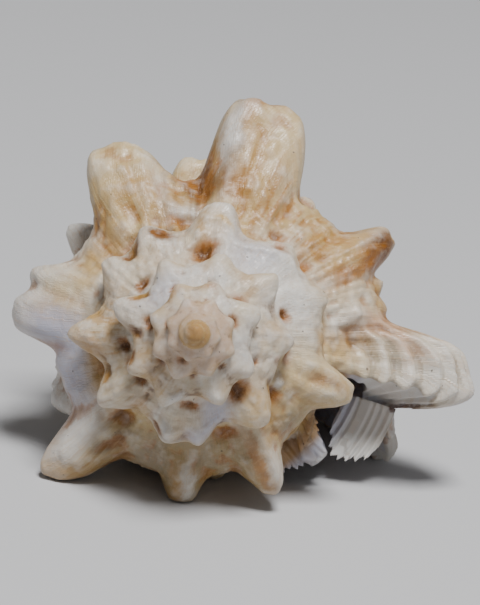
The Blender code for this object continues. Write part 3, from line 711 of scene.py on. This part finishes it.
def paint(body, rings, facts):
    """Store the tint and the growth direction on the body, looked up from the sculpted grid."""
    rows, count = facts["turn"].shape
    i, j = np.meshgrid(np.arange(rows - 1), np.arange(count - 1), indexing="ij")
    corner = i * count + j
    quads = np.stack([corner, corner + 1, corner + count + 1, corner + count], -1).reshape(-1, 4)
    outside = BVHTree.FromPolygons(rings[:, :count].reshape(-1, 3).tolist(), quads.tolist())
    places = np.empty(len(body.data.vertices) * 3)
    body.data.vertices.foreach_get("co", places)
    found = [outside.find_nearest(place_at) for place_at in places.reshape(-1, 3)]
    cell = np.array([hit[2] for hit in found])
    away = np.array([hit[3] for hit in found])
    first = (cell // (count - 1)) * count + cell % (count - 1)
    turn, s, growth, hollowness = [
        (facts[key].ravel()[first] + facts[key].ravel()[first + count + 1]) / 2
        for key in ("turn", "s", "growth", "hollowness")]
    tint = shell_tint(turn, s, growth, hollowness)
    at = places.reshape(-1, 3) / BODY_RADIUS
    radius = np.hypot(at[:, 0], at[:, 2])
    facing_back = ramp(np.cos(np.arctan2(at[:, 2], at[:, 0]) - np.radians(150.0)), -0.55, -0.25)
    canal = ramp(at[:, 1], 2.0, 2.15) * ramp(radius, 0.34, 0.27) * facing_back
    inner = ramp(away, 0.0006, 0.0011) * ramp(at[:, 1], 0.95, 1.05) * (1.0 - canal)
    tint = mixed(tint, "lilac", inner)
    tint = mixed(tint, "white", 0.5 * inner * ramp(radius, 0.70, 0.95))
    tint = mixed(tint, "orange", 0.65 * inner * ramp(radius, 0.80, 0.55))
    sheet = inner * ramp(at[:, 1], 1.45, 1.38)
    tint = mixed(tint, "tan", 0.85 * sheet * ramp(radius, 0.82, 0.76))
    tint = mixed(tint, "brown", 0.70 * sheet * ramp(radius, 0.75, 0.66))
    tint = mixed(tint, "white", 0.9 * inner * ramp(radius, 0.84, 0.90) * ramp(at[:, 1], 1.60, 1.50))
    colour = np.ones((len(tint), 4))
    colour[:, :3] = tint
    body.data.attributes.new("tint", 'FLOAT_COLOR', 'POINT').data.foreach_set("color", colour.ravel())
    grain = np.stack([growth * 0.5, s * 50.0, inner], -1)
    body.data.attributes.new("grain", 'FLOAT_VECTOR', 'POINT').data.foreach_set("vector", grain.ravel())


rings, facts = build_whorls()
whorls = closed_sweep("whorls", rings)
body = join([whorls, build_pillar()], "frog_shell")
weld = body.modifiers.new("weld", 'REMESH')
weld.mode = 'VOXEL'
weld.voxel_size = CELL
body = frozen(body, "frog_shell")
body = apply_boolean(body, build_hollow(), 'DIFFERENCE')
body = apply_boolean(body, build_inner_lip(), 'UNION')
body = apply_boolean(body, build_lip_flange(), 'UNION')
body = apply_boolean(body, build_shield(), 'UNION')
without_crumbs(body)
paint(body, rings, facts)
body.data.transform(rest_matrix())
for face in body.data.polygons:
    face.use_smooth = True


def node(tree, kind, **settings):
    made = tree.nodes.new(kind)
    for key, value in settings.items():
        setattr(made, key, value)
    return made


def noise(tree, where, scale, detail, stretch):
    """Noise over the growth direction; stretch scales along the turn, across and inside."""
    placing = node(tree, "ShaderNodeMapping")
    placing.inputs["Scale"].default_value = stretch
    tree.links.new(where, placing.inputs["Vector"])
    pattern = node(tree, "ShaderNodeTexNoise")
    pattern.inputs["Scale"].default_value = scale
    pattern.inputs["Detail"].default_value = detail
    tree.links.new(placing.outputs["Vector"], pattern.inputs["Vector"])
    return pattern.outputs["Fac"]


def fitted(tree, value, low, high, to_low, to_high):
    """Value moved from one range to another."""
    range_node = node(tree, "ShaderNodeMapRange")
    range_node.inputs["From Min"].default_value = low
    range_node.inputs["From Max"].default_value = high
    range_node.inputs["To Min"].default_value = to_low
    range_node.inputs["To Max"].default_value = to_high
    tree.links.new(value, range_node.inputs["Value"])
    return range_node.outputs["Result"]


def shell_material():
    """Painted tint with fine mottling, specks and growth lines over it."""
    material = bpy.data.materials.new("shell_surface")
    material.use_nodes = True
    tree = material.node_tree
    surface = tree.nodes["Principled BSDF"]
    tint = node(tree, "ShaderNodeAttribute", attribute_name="tint").outputs["Color"]
    grain = node(tree, "ShaderNodeAttribute", attribute_name="grain").outputs["Vector"]
    body_place = node(tree, "ShaderNodeTexCoord").outputs["Object"]

    axial = noise(tree, grain, 1.6, 4.0, (2.4, 0.20, 1.0))
    spiral = noise(tree, grain, 1.6, 3.0, (0.25, 1.6, 1.0))
    chalk = noise(tree, body_place, 420.0, 5.0, (1.0, 1.0, 1.0))
    specks = noise(tree, body_place, 900.0, 1.0, (1.0, 1.0, 1.0))

    colour = tint
    for fac, low, high, shade, strength in (
            (axial, 0.50, 0.68, (0.50, 0.30, 0.13, 1.0), 0.30),
            (spiral, 0.54, 0.70, (0.56, 0.36, 0.19, 1.0), 0.22),
            (chalk, 0.52, 0.72, (0.80, 0.77, 0.73, 1.0), 0.22),
            (specks, 0.775, 0.79, (0.05, 0.03, 0.02, 1.0), 0.7)):
        mix = node(tree, "ShaderNodeMix", data_type='RGBA')
        below = next(k for k in mix.inputs if k.identifier == "A_Color")
        above = next(k for k in mix.inputs if k.identifier == "B_Color")
        above.default_value = shade
        amount = fitted(tree, fac, low, high, 0.0, strength)
        tree.links.new(amount, mix.inputs["Factor"])
        tree.links.new(colour, below)
        colour = next(k for k in mix.outputs if k.identifier == "Result_Color")
    tree.links.new(colour, surface.inputs["Base Color"])
    tree.links.new(fitted(tree, chalk, 0.35, 0.65, 0.30, 0.52), surface.inputs["Roughness"])
    surface.inputs["Subsurface Weight"].default_value = 0.06
    surface.inputs["Subsurface Radius"].default_value = (0.0030, 0.0018, 0.0012)
    surface.inputs["Subsurface Scale"].default_value = 1.0
    surface.inputs["Coat Weight"].default_value = 0.12
    surface.inputs["Coat Roughness"].default_value = 0.22

    height = node(tree, "ShaderNodeMath", operation='ADD')
    tree.links.new(fitted(tree, axial, 0.0, 1.0, 0.0, 1.0), height.inputs[0])
    tree.links.new(fitted(tree, spiral, 0.0, 1.0, 0.0, 0.7), height.inputs[1])
    rough = node(tree, "ShaderNodeMath", operation='ADD')
    tree.links.new(height.outputs[0], rough.inputs[0])
    tree.links.new(fitted(tree, chalk, 0.0, 1.0, 0.0, 0.5), rough.inputs[1])
    bump = node(tree, "ShaderNodeBump")
    bump.inputs["Strength"].default_value = 0.55
    bump.inputs["Distance"].default_value = 0.00035
    tree.links.new(rough.outputs[0], bump.inputs["Height"])
    tree.links.new(bump.outputs["Normal"], surface.inputs["Normal"])
    return material


body.data.materials.clear()
body.data.materials.append(shell_material())
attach(body, "root")
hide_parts("shell")

# ---------------------------------------------------------------- floor, light and camera
floor_mesh = bpy.data.meshes.new("floor")
floor_mesh.from_pydata([(-3, -3, 0), (3, -3, 0), (3, 3, 0), (-3, 3, 0)], [], [(0, 1, 2, 3)])
floor = bpy.data.objects.new("floor", floor_mesh)
bpy.context.scene.collection.objects.link(floor)
floor_material = bpy.data.materials.new("floor_paper")
floor_material.use_nodes = True
floor_surface = floor_material.node_tree.nodes["Principled BSDF"]
floor_surface.inputs["Base Color"].default_value = (0.52, 0.52, 0.53, 1.0)
floor_surface.inputs["Roughness"].default_value = 0.9
floor_mesh.materials.append(floor_material)

world = bpy.data.worlds.new("studio")
bpy.context.scene.world = world
world.use_nodes = True
world.node_tree.nodes["Background"].inputs["Color"].default_value = (0.9, 0.92, 0.95, 1.0)
world.node_tree.nodes["Background"].inputs["Strength"].default_value = 0.17


def soft_light(name, place_at, aim, side, power, colour=(1, 1, 1)):
    lamp = bpy.data.lights.new(name, 'AREA')
    lamp.shape = 'SQUARE'
    lamp.size = side
    lamp.energy = power
    lamp.color = colour
    holder = bpy.data.objects.new(name, lamp)
    holder.location = place_at
    holder.rotation_euler = (Vector(aim) - Vector(place_at)).to_track_quat('-Z', 'Y').to_euler()
    bpy.context.scene.collection.objects.link(holder)


soft_light("key", (0.10, -0.34, 1.13), (0, 0, 0.03), 0.34, 20.0)
soft_light("fill", (0.80, -1.20, 0.60), (0, 0, 0.03), 0.7, 0.7)

CAMERA_AZIMUTH = -3.69
CAMERA_ELEVATION = 19.69
CAMERA_ROLL = -7.25
CAMERA_DISTANCE = 0.70
VIEW_HEIGHT = 0.11306          # height of the view at the aim point, in metres
AIM = (-0.00082, 0.00011, 0.02948)

toward = Vector((math.sin(math.radians(CAMERA_AZIMUTH)) * math.cos(math.radians(CAMERA_ELEVATION)),
                 -math.cos(math.radians(CAMERA_AZIMUTH)) * math.cos(math.radians(CAMERA_ELEVATION)),
                 math.sin(math.radians(CAMERA_ELEVATION))))
lens = bpy.data.cameras.new("camera")
lens.sensor_width = 36.0
lens.lens = 36.0 * CAMERA_DISTANCE / VIEW_HEIGHT
lens.clip_start = 0.05
lens.clip_end = 20.0
camera = bpy.data.objects.new("camera", lens)
bpy.context.scene.collection.objects.link(camera)
spin = toward.to_track_quat('Z', 'Y').to_matrix().to_4x4()
turned = spin @ Matrix.Rotation(math.radians(-CAMERA_ROLL), 4, 'Z')
camera.matrix_world = Matrix.Translation(Vector(AIM) + toward * CAMERA_DISTANCE) @ turned
bpy.context.scene.camera = camera
